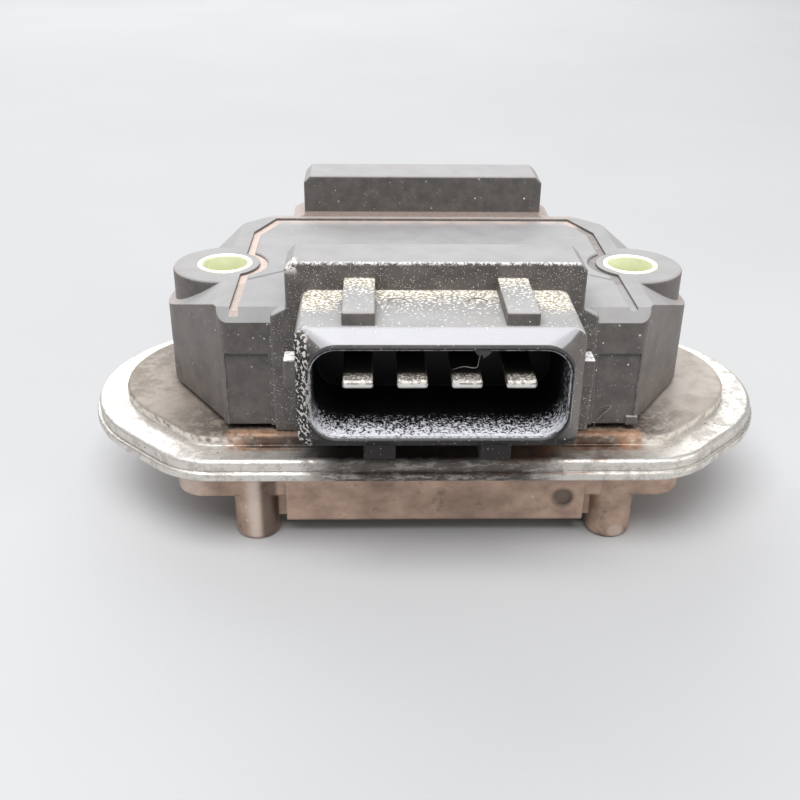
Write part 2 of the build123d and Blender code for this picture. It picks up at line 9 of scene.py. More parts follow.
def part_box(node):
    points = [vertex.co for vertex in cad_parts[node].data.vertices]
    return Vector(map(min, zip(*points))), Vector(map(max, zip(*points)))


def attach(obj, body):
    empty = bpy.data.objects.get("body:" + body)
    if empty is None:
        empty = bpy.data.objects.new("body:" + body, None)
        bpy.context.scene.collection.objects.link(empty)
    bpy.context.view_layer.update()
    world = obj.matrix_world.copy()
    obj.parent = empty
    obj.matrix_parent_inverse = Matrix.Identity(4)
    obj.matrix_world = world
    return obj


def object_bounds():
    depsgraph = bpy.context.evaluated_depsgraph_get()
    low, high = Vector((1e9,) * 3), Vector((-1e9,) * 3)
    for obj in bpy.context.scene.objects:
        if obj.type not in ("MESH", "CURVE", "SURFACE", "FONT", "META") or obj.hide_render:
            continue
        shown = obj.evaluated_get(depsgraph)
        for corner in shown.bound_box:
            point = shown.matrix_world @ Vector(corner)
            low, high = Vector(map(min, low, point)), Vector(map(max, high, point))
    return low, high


# A three-channel ignition output stage: dusty black module on a worn cast heat-sink flange.
# Lengths are in millimetres unless a comment says metres. MM turns them into Blender's metres.

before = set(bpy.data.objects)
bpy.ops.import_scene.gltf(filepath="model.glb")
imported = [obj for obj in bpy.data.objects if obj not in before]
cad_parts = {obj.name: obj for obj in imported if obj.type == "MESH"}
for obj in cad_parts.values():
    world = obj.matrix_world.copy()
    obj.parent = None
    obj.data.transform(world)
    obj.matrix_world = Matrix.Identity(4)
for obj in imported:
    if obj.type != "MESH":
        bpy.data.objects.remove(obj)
cad_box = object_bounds()

MM = 0.001

# ---------------------------------------------------------------- places read from the frame
box_low, _ = (v / MM for v in cad_box)
housing_low, housing_high = (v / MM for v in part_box("housing"))
cover_low, cover_high = (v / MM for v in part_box("cover"))
bead_low, _ = (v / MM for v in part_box("cover_bead"))
sink_low, sink_high = (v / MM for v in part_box("heat_sink"))
blade_low, blade_high = (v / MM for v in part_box("signal_terminal_1"))
third_low, third_high = (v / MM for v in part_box("signal_terminal_3"))
bushing_low, bushing_high = (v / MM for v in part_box("right_bushing"))

# the connector hoods, front and rear
HOOD_REACH = 10.15
HOOD_HALF = 13.0
RIM_TAPER = 1.2
RIM_Y = housing_low.y
REAR_RIM_Y = housing_high.y
FLANGE_HALF = 16.4
FLANGE_THICKNESS = 5.6
FLANGE_Y = RIM_Y + HOOD_REACH
REAR_FLANGE_Y = REAR_RIM_Y - HOOD_REACH
FLANGE_TOP = housing_high.z
HOOD_TOP = FLANGE_TOP - 2.84
HOUSING_TOP = cover_high.z
HOUSING_HALF = housing_high.x

# the sockets in them
SOCKET_ROOF = HOOD_TOP - 1.9
SOCKET_FLOOR = HOOD_TOP - 10.65
SOCKET_HALF = 11.8
REAR_SOCKET_HALF = 9.3
SOCKET_RADIUS = 2.4
SOCKET_DEPTH = 11.5
BLADE_TOP = blade_high.z
BLADE_TIP = blade_low.y
THIRD_BLADE_X = (third_low.x + third_high.x) / 2

# the casting: a plate with a raised pad, and posts below
PAD_TOP = bushing_low.z
PLATE_TOP = PAD_TOP - 1.25
PLATE_FRONT = sink_low.y
PLATE_END = sink_high.x
PAD_FRONT = PLATE_FRONT + 3.6
POST_X = bushing_low.x + 0.05
POST_FOOT = sink_low.z


# ---------------------------------------------------------------- short calls for shader nodes
class Shader:
    """One node material. Patterns read the part's own coordinates in millimetres."""

    def __init__(self, name):
        self.material = bpy.data.materials.new(name)
        self.material.use_nodes = True
        self.tree = self.material.node_tree
        self.tree.nodes.clear()
        self.out = self.add("ShaderNodeOutputMaterial")
        self.surface = self.add("ShaderNodeBsdfPrincipled")
        self.link(self.surface.outputs["BSDF"], self.out.inputs["Surface"])
        scale = self.add("ShaderNodeVectorMath", operation="SCALE")
        self.link(self.add("ShaderNodeTexCoord").outputs["Object"], scale.inputs[0])
        scale.inputs["Scale"].default_value = 1 / MM
        self.place = scale.outputs["Vector"]
        self.x, self.y, self.z = self.split(self.place)
        self.normal = self.add("ShaderNodeNewGeometry").outputs["Normal"]
        self.facing_x, self.facing_y, self.facing_z = self.split(self.normal)
        self.relief = None

    def add(self, kind, **settings):
        node = self.tree.nodes.new(kind)
        for key, value in settings.items():
            setattr(node, key, value)
        return node

    def link(self, source, target):
        if hasattr(source, "is_output"):
            self.tree.links.new(source, target)
        else:
            target.default_value = source

    def split(self, vector):
        node = self.add("ShaderNodeSeparateXYZ")
        self.link(vector, node.inputs[0])
        return node.outputs

    def math(self, operation, *values, clamp=False):
        node = self.add("ShaderNodeMath", operation=operation, use_clamp=clamp)
        for socket, value in zip(node.inputs, values):
            self.link(value, socket)
        return node.outputs[0]

    def times(self, *values):
        """The product of masks and numbers."""
        result = values[0]
        for value in values[1:]:
            result = self.math("MULTIPLY", result, value)
        return result

    def plus(self, *values):
        """The sum of masks, held between 0 and 1."""
        result = values[0]
        for value in values[1:]:
            result = self.math("ADD", result, value, clamp=True)
        return result

    def less(self, value):
        """1 minus a mask."""
        return self.math("SUBTRACT", 1.0, value, clamp=True)

    def step(self, value, low, high, to_low=0.0, to_high=1.0):
        """A smooth step of a value from low to high, or down where low is the larger."""
        node = self.add("ShaderNodeMapRange", interpolation_type="SMOOTHSTEP")
        for socket, number in zip(node.inputs, (value, low, high, to_low, to_high)):
            self.link(number, socket)
        return node.outputs[0]

    def between(self, value, low, high, soft):
        """1 between low and high, fading out over soft on both sides."""
        return self.times(self.step(value, low - soft, low), self.step(value, high + soft, high))

    def aside(self):
        """The distance from the middle plane."""
        return self.math("ABSOLUTE", self.x)

    def stretched(self, stretch):
        """The coordinates scaled along each axis."""
        node = self.add("ShaderNodeVectorMath", operation="MULTIPLY")
        self.link(self.place, node.inputs[0])
        node.inputs[1].default_value = stretch
        return node.outputs[0]

    def window(self, half, low, high, radius):
        """1 inside a rounded rectangle that is centred on the middle plane, seen along the sockets."""
        over_x = self.math("MAXIMUM", self.math("SUBTRACT", self.aside(), half - radius), 0.0)
        from_middle = self.math("ABSOLUTE", self.math("SUBTRACT", self.z, (low + high) / 2))
        over_z = self.math("MAXIMUM", self.math("SUBTRACT", from_middle, (high - low) / 2 - radius), 0.0)
        square = self.math("ADD", self.times(over_x, over_x), self.times(over_z, over_z))
        return self.step(self.math("SQRT", square), radius + 0.04, radius)

    def disc(self, x, z, radius, soft):
        """1 near a point of the XZ plane, whatever the depth."""
        dx = self.math("SUBTRACT", self.x, x)
        dz = self.math("SUBTRACT", self.z, z)
        square = self.math("ADD", self.times(dx, dx), self.times(dz, dz))
        return self.step(self.math("SQRT", square), radius + soft, radius)

    def grains(self, size, share):
        """Irregular grains of about this size that cover this share, a number or a mask."""
        field = self.noise(size, 1.0, 0.6)
        limit = self.math("MULTIPLY_ADD", share, -0.34, 0.68)
        return self.step(self.math("SUBTRACT", field, limit), 0.0, 0.03)

    def noise(self, size, detail=4.0, rough=0.55, distortion=0.0, stretch=(1, 1, 1)):
        """Smooth noise with features of about this size in millimetres, from 0 to 1."""
        node = self.add("ShaderNodeTexNoise")
        self.link(self.stretched(stretch), node.inputs["Vector"])
        node.inputs["Scale"].default_value = 1.0 / size
        node.inputs["Detail"].default_value = detail
        node.inputs["Roughness"].default_value = rough
        node.inputs["Distortion"].default_value = distortion
        return node.outputs["Fac"]

    def specks(self, size, share, least=0.14, most=0.42):
        """Round specks, at most one in a cell of this size, in this share of the cells."""
        node = self.add("ShaderNodeTexVoronoi", feature="F1")
        self.link(self.place, node.inputs["Vector"])
        node.inputs["Scale"].default_value = 1.0 / size
        chance = self.add("ShaderNodeSeparateColor")
        self.link(node.outputs["Color"], chance.inputs[0])
        radius = self.math("MULTIPLY_ADD", chance.outputs[1], most - least, least)
        dot = self.step(self.math("SUBTRACT", radius, node.outputs["Distance"]), 0.0, 0.1)
        chosen = self.step(chance.outputs[0], share, self.math("SUBTRACT", share, 0.05))
        return self.times(dot, chosen)

    def rounded(self, radius, low=0.03, high=0.3):
        """Softens sharp edges to this radius in millimetres and returns where they are."""
        node = self.add("ShaderNodeBevel", samples=6)
        node.inputs["Radius"].default_value = radius * MM
        self.relief = node.outputs[0]
        dot = self.add("ShaderNodeVectorMath", operation="DOT_PRODUCT")
        self.link(self.relief, dot.inputs[0])
        self.link(self.normal, dot.inputs[1])
        return self.step(self.math("SUBTRACT", 1.0, dot.outputs["Value"]), low, high)

    def mix(self, share, first, second):
        """The second colour over the first, by a mask."""
        node = self.add("ShaderNodeMix", data_type="RGBA", clamp_factor=True)
        self.link(share, node.inputs[0])
        for socket, colour in ((node.inputs[6], first), (node.inputs[7], second)):
            self.link(colour if hasattr(colour, "is_output") else (*colour, 1.0), socket)
        return node.outputs[2]

    def blend(self, share, first, second):
        """The second number over the first, by a mask."""
        node = self.add("ShaderNodeMix", data_type="FLOAT", clamp_factor=True)
        for socket, value in ((node.inputs[0], share), (node.inputs[2], first), (node.inputs[3], second)):
            self.link(value, socket)
        return node.outputs[0]

    def raise_by(self, height, depth):
        """Adds a relief of this depth in millimetres."""
        node = self.add("ShaderNodeBump")
        node.inputs["Strength"].default_value = 1.0
        node.inputs["Distance"].default_value = depth * MM
        self.link(height, node.inputs["Height"])
        if self.relief is not None:
            self.link(self.relief, node.inputs["Normal"])
        self.relief = node.outputs[0]

    def finish(self, colour, roughness, metallic=0.0, **plain):
        """Sets the surface and returns the material."""
        sockets = self.surface.inputs
        self.link(colour, sockets["Base Color"])
        self.link(roughness, sockets["Roughness"])
        self.link(metallic, sockets["Metallic"])
        if self.relief is not None:
            self.link(self.relief, sockets["Normal"])
        for name, value in plain.items():
            sockets[name.replace("_", " ")].default_value = value
        return self.material


# ---------------------------------------------------------------- black moulding
BARE_PLASTIC = (0.030, 0.028, 0.027), (0.055, 0.050, 0.047)
SOIL_HAZE = (0.150, 0.132, 0.120)
BROWN_SOIL = (0.190, 0.160, 0.142)
PALE_DUST = (0.300, 0.292, 0.290), (0.365, 0.357, 0.352)
WARM_DUST = (0.37, 0.335, 0.315)
PINK_DUST = (0.33, 0.26, 0.225), (0.55, 0.45, 0.395)
SAND = (0.34, 0.29, 0.22), (0.95, 0.90, 0.78)
SOCKET_CRUMBS = (0.40, 0.40, 0.43), (0.86, 0.86, 0.90)
WHITE_SPECKS = (0.62, 0.585, 0.55)
# painted shade inside the sockets, lighter on the walls near the front mouth
SOCKET_SHADE_BLACK = (0.006, 0.006, 0.007)
SOCKET_WALL = (0.035, 0.035, 0.037)
SOCKET_RUBBED = (0.12, 0.12, 0.13)
MOUTH = (0.05, 0.05, 0.053)
# painted highlight on the rounded inner edge of the socket's mouth
MOUTH_EDGE_HIGHLIGHT = (0.42, 0.42, 0.44)
# painted shade on the rim's lower and left slopes, and below the rim
RIM_SHADE_BLACK = (0.020, 0.019, 0.021)
UNDER_RIM_SHADE = (0.02, 0.019, 0.019)
# painted shade on the housing's front below the hood
HOOD_SHADE = (0.022, 0.019, 0.018)
# edges lightened as wear and as painted glints
RUBBED_EDGE_AND_GLINT = (0.46, 0.44, 0.42)
CHALK = (0.72, 0.70, 0.69)
RIM_SHEEN = (0.50, 0.50, 0.53)


def moulding_body(s):
    """The bare black plastic with a grey-brown haze of soil on its upright faces."""
    body = s.mix(s.noise(6.0, 4.0), *BARE_PLASTIC)
    haze = s.step(s.noise(1.7, 6.0, 0.7), 0.30, 0.75, 0.18, 0.62)
    body = s.mix(haze, body, SOIL_HAZE)
    side = s.step(s.math("ABSOLUTE", s.facing_x), 0.30, 0.75)
    brown = s.times(side, s.step(s.noise(3.5, 5.0, 0.6), 0.25, 0.75, 0.15, 0.6))
    return s.mix(brown, body, BROWN_SOIL)


def top_film(s):
    """Pale dust on what faces up: the colour and where it lies."""
    up = s.step(s.facing_z, 0.30, 0.85)
    cover = s.times(up, s.step(s.noise(3.2, 6.0, 0.62), 0.2, 0.7, 0.72, 0.92))
    warm = s.step(s.noise(7.0, 3.0), 0.5, 0.75, 0.0, 0.35)
    return s.mix(warm, s.mix(s.noise(5.0, 3.0), *PALE_DUST), WARM_DUST), cover


def socket_window(s, half, margin):
    """1 over the cross-section of a socket, made larger all round by this margin."""
    return s.window(half + margin, SOCKET_FLOOR - margin, SOCKET_ROOF + margin, SOCKET_RADIUS)


def socket_inside(s, half, from_rim):
    """1 on the inner faces of a socket, from just behind its mouth."""
    return s.times(socket_window(s, half, 0.03), s.between(from_rim, 0.35, SOCKET_DEPTH, 0.1))


def housing_places(s):
    """The masks and distances that several layers of the housing share."""
    at = SimpleNamespace()
    at.worn = s.rounded(0.22)
    at.up = s.step(s.facing_z, 0.30, 0.85)
    at.aside = s.aside()
    at.from_rim = s.math("SUBTRACT", s.y, RIM_Y)
    at.from_flange = s.math("SUBTRACT", FLANGE_Y, s.y)
    at.inside_front = socket_inside(s, SOCKET_HALF, at.from_rim)
    inside_rear = socket_inside(s, REAR_SOCKET_HALF, s.math("SUBTRACT", REAR_RIM_Y, s.y))
    at.inside = s.plus(at.inside_front, inside_rear)
    at.mouth = s.times(socket_window(s, SOCKET_HALF, 0.4), s.step(at.from_rim, 0.42, 0.36))
    at.taper = s.times(s.step(at.from_rim, RIM_TAPER + 0.16, RIM_TAPER + 0.08), s.less(at.inside))
    return at


def dusted_plastic(s, at):
    """Plastic under its film of dust, with the socket's dark mouth. Also returns the film."""
    film_colour, film = top_film(s)
    film = s.times(film, s.less(at.inside), s.less(at.mouth))
    colour = s.mix(film, moulding_body(s), film_colour)
    return s.mix(s.times(at.mouth, 0.8), colour, MOUTH), film


def add_pink_dust(s, at, colour):
    """Pinkish dust against the rear flange, on the ears' slopes and packed in the left groove."""
    rear_foot = REAR_FLANGE_Y - FLANGE_THICKNESS
    foot = s.times(s.step(s.y, rear_foot - 1.3, rear_foot - 0.2),
                   s.between(s.z, HOUSING_TOP - 0.5, HOUSING_TOP + 0.6, 0.2))
    slope = s.times(s.step(at.aside, HOUSING_HALF - 3.25, HOUSING_HALF - 0.25),
                    s.between(s.facing_z, 0.5, 0.93, 0.05))
    groove = s.times(s.between(s.x, bead_low.x, cover_low.x, 0.06), s.step(s.y, -2.5, -4.0), at.up,
                     s.step(s.z, HOUSING_TOP - 0.8, HOUSING_TOP - 0.7))
    packed = s.times(groove, s.step(s.noise(0.5), 0.3, 0.5, 0.6, 1))
    pink = s.plus(s.times(foot, 0.75), s.times(slope, 0.5), packed)
    return s.mix(pink, colour, s.mix(s.noise(0.4, 4.0), *PINK_DUST))


def darken_sockets(s, at, colour):
    """Clean sockets in painted shade, near-black, with pale crumbs behind the front mouth. Also returns the
    crumbs.
    """
    # painted shade: the sockets' faces are made darker than the bare plastic
    colour = s.mix(at.inside, colour, SOCKET_SHADE_BLACK)
    low_lip = s.step(s.z, SOCKET_FLOOR + 3.6, SOCKET_FLOOR + 0.3)
    zone = s.times(at.inside_front, low_lip, s.step(at.from_rim, 6.0, 0.2))
    share = s.plus(s.times(zone, 0.62), s.times(s.step(at.from_rim, 1.1, 0.3), 0.25))
    crumbs = s.plus(s.grains(0.30, share), s.times(s.grains(0.19, share), 0.8))
    crumbs = s.times(crumbs, s.step(zone, 0.05, 0.3))
    walls = s.times(at.inside_front, s.step(at.aside, SOCKET_HALF - 0.6, SOCKET_HALF - 0.1),
                    s.step(at.from_rim, 5.0, 1.0))
    crumbs = s.plus(crumbs, s.times(walls, s.grains(0.26, 0.30)))
    # the walls near the front mouth get a lighter painted shade
    colour = s.mix(s.times(walls, 0.5), colour, SOCKET_WALL)
    colour = s.mix(s.times(at.inside_front, at.worn, 0.35), colour, SOCKET_RUBBED)
    return s.mix(crumbs, colour, s.mix(s.noise(0.25), *SOCKET_CRUMBS)), crumbs


def add_hood_grit(s, at, colour):
    """Coarse pale grit heaped in the corner of hood and flange. Also returns heap and sprinkle."""
    ragged = s.math("MULTIPLY_ADD", s.noise(2.2, 5.0, 0.7), 5.4, -0.8)
    heap = s.step(s.math("SUBTRACT", at.from_flange, ragged), 1.6, -1.2)
    on_hood = s.times(s.between(s.z, HOOD_TOP - 0.3, HOOD_TOP + 1.5, 0.2), at.up,
                      s.step(at.aside, HOOD_HALF + 0.4, HOOD_HALF - 0.4),
                      s.step(s.y, FLANGE_Y + 0.3, FLANGE_Y - 0.05))
    outer = s.times(s.step(at.aside, HOOD_HALF - 4.2, HOOD_HALF - 2.8), s.step(at.from_flange, 7.0, 3.0))
    heap = s.times(on_hood, s.plus(heap, outer))
    sand = s.mix(s.step(s.noise(0.30, 1.0, 0.8), 0.44, 0.56), *SAND)
    heap = s.times(heap, s.grains(0.34, s.step(heap, 0.0, 1.0, 0.2, 0.95)))
    sprinkle = s.times(on_hood, s.grains(0.30, s.step(at.from_flange, 8.0, 0.5, 0.0, 0.5)))
    colour = s.mix(s.times(sprinkle, 0.8), s.mix(heap, colour, sand), sand)
    return colour, heap, sprinkle


def shade_rim(s, at, colour):
    """Near-black painted shade on the rim's lower and left slopes and below it. Also returns both masks."""
    slopes = s.plus(s.step(s.facing_z, -0.2, -0.5), s.step(s.facing_x, -0.25, -0.5))
    shaded = s.times(at.taper, slopes)
    below = s.times(s.step(s.z, SOCKET_FLOOR - 0.3, SOCKET_FLOOR - 0.8),
                    s.step(s.y, FLANGE_Y - 0.5, FLANGE_Y - 1.0))
    colour = s.mix(s.times(shaded, 0.88), colour, RIM_SHADE_BLACK)
    return s.mix(s.times(below, 0.8), colour, UNDER_RIM_SHADE), shaded, below


def add_white_specks(s, at, colour):
    """White specks, densest on the flange face and the hood's left lip. Also returns them."""
    facing_front = s.step(s.facing_y, -0.6, -0.9)
    on_flange = s.times(facing_front, s.between(s.y, FLANGE_Y - 0.3, FLANGE_Y + 0.3, 0.1),
                        s.step(at.aside, FLANGE_HALF + 0.2, FLANGE_HALF - 0.2))
    near_rim = s.times(s.step(s.y, RIM_Y + 4.0, RIM_Y), s.less(at.inside))
    flange_dust = s.times(on_flange, s.step(s.noise(2.0, 4.0), 0.3, 0.6, 0.35, 0.8))
    dense = s.plus(flange_dust, s.times(near_rim, 0.12))
    fine = s.specks(0.15, s.math("MULTIPLY_ADD", dense, 0.45, 0.03), 0.2, 0.5)
    coarse = s.specks(0.36, s.math("MULTIPLY_ADD", dense, 0.20, 0.06), 0.12, 0.36)
    upright = s.times(s.less(at.up), s.less(at.inside))
    left_lip = s.times(s.step(s.x, 1.4 - HOOD_HALF, 0.7 - HOOD_HALF), s.step(at.from_rim, 2.6, 1.2))
    crust = s.times(left_lip, s.step(at.from_rim, 1.6, 1.3), s.grains(0.34, 0.44))
    corners = s.plus(s.between(s.x, -FLANGE_HALF - 0.6, -FLANGE_HALF + 2.7, 0.5),
                     s.between(s.x, FLANGE_HALF - 1.0, FLANGE_HALF + 0.6, 0.5))
    lumps = s.times(corners, s.step(s.z, FLANGE_TOP - 1.5, FLANGE_TOP - 0.5),
                    s.between(s.y, FLANGE_Y - 0.4, FLANGE_Y + 1.2, 0.3), s.grains(0.3, 0.75))
    specks = s.plus(s.times(upright, s.plus(fine, coarse)), s.times(crust, 0.85), lumps)
    return s.mix(specks, colour, WHITE_SPECKS), specks


def wear_and_edge_highlights(s, at, colour):
    """Rubbed edges with painted glints, the flange's frosted top edge, chalky side ribs and the mouth's
    painted highlight.
    """
    # the edges are lightened as wear and as painted glints
    patchy = s.step(s.noise(0.55, 5.0, 0.7), 0.42, 0.60, 0.10, 0.85)
    rub = s.times(at.worn, s.less(at.inside), patchy)
    colour = s.mix(s.times(rub, s.less(at.taper), 0.62), colour, RUBBED_EDGE_AND_GLINT)
    top_edge = s.times(s.between(s.y, FLANGE_Y - 0.5, FLANGE_Y + 0.18, 0.1), s.grains(0.25, 0.62),
                       s.step(s.z, FLANGE_TOP - 0.4, FLANGE_TOP - 0.1))
    rib_top = s.times(at.up, s.between(at.aside, HOOD_HALF + 0.15, HOOD_HALF + 1.4, 0.05),
                      s.step(s.y, FLANGE_Y, FLANGE_Y - 0.3),
                      s.step(s.z, HOOD_TOP - 2.0, HOOD_TOP - 2.2), s.grains(0.5, 0.85))
    colour = s.mix(s.plus(s.times(top_edge, 0.8), s.times(rib_top, 0.85)), colour, CHALK)
    # a painted highlight along the rounded inner edge of the mouth, broken up by noise
    broken = s.step(s.noise(0.7, 4.0, 0.8), 0.40, 0.55, 0.1, 0.85)
    mouth_highlight = s.times(s.between(at.from_rim, 0.20, 0.38, 0.06), broken)
    return s.mix(s.times(mouth_highlight, at.mouth), colour, MOUTH_EDGE_HIGHLIGHT)


def add_hood_shade(s, at, colour):
    """Painted shade on the housing's front below the hood."""
    painted_shadow = s.times(s.step(s.z, SOCKET_FLOOR - 1.7, SOCKET_FLOOR - 2.6),
                   s.step(at.aside, HOOD_HALF + 1.5, HOOD_HALF - 0.5),
                   s.step(s.y, FLANGE_Y + 1.9, FLANGE_Y + 0.9))
    return s.mix(s.times(painted_shadow, 0.75), colour, HOOD_SHADE)


def housing_plastic():
    """The housing's finish, built up in layers from bare plastic to the painted shade below the hood."""
    s = Shader("housing_plastic_dusty")
    at = housing_places(s)
    colour, film = dusted_plastic(s, at)
    colour = add_pink_dust(s, at, colour)
    colour, crumbs = darken_sockets(s, at, colour)
    colour, heap, sprinkle = add_hood_grit(s, at, colour)
    colour, shaded, below_rim = shade_rim(s, at, colour)
    colour, specks = add_white_specks(s, at, colour)
    colour = add_hood_shade(s, at, wear_and_edge_highlights(s, at, colour))

    # the rim's upper slope gets a painted reflection of the window, and its oily parts and painted shade
    # hardly reflect at all
    sheen = s.times(s.between(s.facing_z, 0.45, 0.95, 0.05),
                    s.step(at.from_rim, RIM_TAPER + 0.15, RIM_TAPER), s.less(at.mouth))
    colour = s.mix(s.times(sheen, 0.55), colour, RIM_SHEEN)
    grit = s.plus(specks, crumbs, s.times(sprinkle, 0.6), heap)
    roughness = s.blend(s.plus(film, grit), s.blend(s.noise(0.4, 3.0), 0.40, 0.52), 0.78)
    s.raise_by(s.noise(0.17, 2.0, 0.7), 0.028)
    s.raise_by(grit, 0.05)
    oily = s.plus(shaded, s.times(at.mouth, 0.6), s.times(below_rim, 0.8), s.times(at.inside, 0.5))
    s.link(s.blend(oily, 0.5, 0.08), s.surface.inputs["Specular IOR Level"])
    return s.finish(colour, s.blend(sheen, roughness, 0.36))


def cover_plastic():
    """The lid: an even film of pale dust with a few rubbed patches."""
    s = Shader("cover_plastic_dusty")
    worn = s.rounded(0.15)
    film_colour, film = top_film(s)
    colour = s.mix(film, moulding_body(s), film_colour)
    rear = s.step(s.y, cover_high.y - 2.2, cover_high.y - 0.3)
    colour = s.mix(s.times(rear, s.step(s.noise(2.5, 4.0), 0.35, 0.6, 0.3, 0.8)), colour, (0.56, 0.45, 0.40))
    colour = s.mix(s.times(worn, 0.4), colour, (0.5, 0.48, 0.46))
    colour = s.mix(s.specks(0.22, 0.05), colour, (0.62, 0.58, 0.54))
    s.raise_by(s.noise(0.17, 2.0, 0.7), 0.02)
    return s.finish(colour, s.blend(film, 0.45, 0.74))


def bead_adhesive():
    """The bead round the lid: pinkish dust on the left, bare and dark with pale crumbs on the right."""
    s = Shader("bead_adhesive_dusty")
    dust = s.mix(s.noise(0.35, 4.0, 0.7), (0.44, 0.34, 0.29), (0.66, 0.54, 0.48))
    grey = s.mix(s.noise(0.9, 4.0), (0.17, 0.15, 0.14), (0.32, 0.30, 0.29))
    left = s.plus(s.step(s.x, 4.0, -12.0), s.step(s.y, cover_high.y - 2.5, cover_high.y - 0.8))
    colour = s.mix(s.times(left, s.step(s.noise(1.2, 5.0), 0.25, 0.45, 0.55, 1.0)), grey, dust)
    colour = s.mix(s.specks(0.3, 0.22), colour, (0.68, 0.62, 0.56))
    s.raise_by(s.noise(0.3, 4.0), 0.06)
    return s.finish(colour, 0.82)


# ---------------------------------------------------------------- metals
RIM_METAL = (0.50, 0.47, 0.43), (0.86, 0.83, 0.78)
RIM_GRIME = (0.13, 0.105, 0.090), (0.36, 0.31, 0.27)
PARTING_LINE = (0.13, 0.11, 0.09)
RIM_PITS = (0.12, 0.10, 0.085)
PAD_DIRT = (0.095, 0.075, 0.060), (0.30, 0.252, 0.21)
PAD_PALE = (0.42, 0.36, 0.305)
PAD_RIGHT = (0.45, 0.40, 0.355)
PAD_SOIL = (0.055, 0.042, 0.034)
PAD_EDGE = (0.70, 0.65, 0.59)
RUST = (0.14, 0.060, 0.030), (0.66, 0.40, 0.25)
PAD_FOOT = (0.06, 0.042, 0.033)
# painted shadow under the hood, and dark oil on the rim
CASTING_SHADOW_AND_OIL = (0.032, 0.026, 0.023)
RUSTY_FILM = (0.16, 0.075, 0.04)
OIL_TAN = (0.27, 0.185, 0.145), (0.60, 0.43, 0.33)
OIL_DARK = (0.10, 0.075, 0.062)
OIL_SPECKS = (0.70, 0.58, 0.50)
EJECTOR_MARK = (0.07, 0.062, 0.052)
# painted shade and painted highlights on the underside's posts and ledge
POST_SHADE = (0.055, 0.042, 0.036)
POST_HIGHLIGHT = (0.74, 0.63, 0.56)
OIL_RUBBED = (0.52, 0.46, 0.40)


def rim_metal(s, aside):
    """Bare metal of the rim, streaked along its length, with grime. Also returns where it is bare."""
    streaks = s.noise(1.1, 5.0, 0.65, stretch=(0.35, 1.0, 3.0))
    grime = s.mix(s.noise(2.2, 6.0, 0.65), *RIM_GRIME)
    ends = s.step(aside, 8.0, 15.5)
    mottled = s.step(s.noise(1.5, 6.0, 0.75), 0.40, 0.56, 0.25, 1.0)
    bare = s.plus(s.times(ends, s.step(mottled, 0.25, 1.0, 0.50, 0.95)), s.times(mottled, 0.25))
    rim = s.mix(bare, grime, s.mix(streaks, *RIM_METAL))
    parting = s.times(s.between(s.z, 0.86, 1.08, 0.06), s.step(s.facing_z, 0.9, 0.6), 0.6)
    rim = s.mix(s.times(parting, s.step(s.noise(0.9, 4.0), 0.3, 0.6, 0.3, 1.0)), rim, PARTING_LINE)
    pits = s.times(s.specks(0.5, 0.12, 0.1, 0.4), s.step(s.noise(2.5), 0.4, 0.6))
    return s.mix(s.times(pits, 0.7), rim, RIM_PITS), bare


def pad_dirt(s, aside):
    """Dirt on the pad, paler towards its ends and its edge, with black soil beside the housing."""
    dirt = s.mix(s.noise(1.4, 6.0, 0.75), *PAD_DIRT)
    pale = s.times(s.step(aside, PLATE_END - 15.8, PLATE_END - 4.8),
                   s.step(s.noise(2.6, 6.0, 0.7), 0.38, 0.62))
    dirt = s.mix(s.times(pale, 0.6), dirt, PAD_PALE)
    right = s.times(s.step(s.x, PLATE_END - 17.8, PLATE_END - 11.8),
                    s.step(s.noise(3.0, 4.0), 0.3, 0.6, 0.35, 0.85))
    dirt = s.mix(right, dirt, PAD_RIGHT)
    soil = s.times(s.step(aside, PLATE_END - 7.8, PLATE_END - 17.8), s.step(s.y, -5.0, -11.5),
                   s.step(s.noise(0.8, 6.0, 0.78), 0.42, 0.52))
    dirt = s.mix(s.times(soil, 0.85), dirt, PAD_SOIL)
    edge = s.step(s.z, PAD_TOP - 0.1, PAD_TOP - 0.45)
    rubbed = s.times(edge, s.step(aside, 10.0, 20.0), s.step(s.noise(0.8, 5.0), 0.3, 0.55))
    return s.mix(rubbed, dirt, PAD_EDGE)


def add_rust(s, aside, colour):
    """Rust on the pad's front face below the flange's ends, and the dark line along its foot."""
    zone = s.times(s.plus(s.between(s.x, -FLANGE_HALF - 4.1, -FLANGE_HALF + 2.2, 1.2),
                          s.between(s.x, FLANGE_HALF - 1.4, FLANGE_HALF + 4.8, 1.4)),
                   s.between(s.y, PAD_FRONT - 0.9, PAD_FRONT + 0.9, 0.5))
    rust = s.times(zone, s.step(s.noise(1.1, 6.0, 0.7), 0.30, 0.58))
    colour = s.mix(s.times(rust, 0.85), colour, s.mix(s.noise(0.35, 4.0, 0.8), *RUST))
    foot = s.times(s.between(s.y, PAD_FRONT - 0.45, PAD_FRONT - 0.02, 0.12),
                   s.between(aside, FLANGE_HALF - 8.4, FLANGE_HALF + 2.1, 2.0))
    return s.mix(s.times(foot, s.step(s.noise(0.9, 4.0), 0.3, 0.5, 0.3, 0.85)), colour, PAD_FOOT)


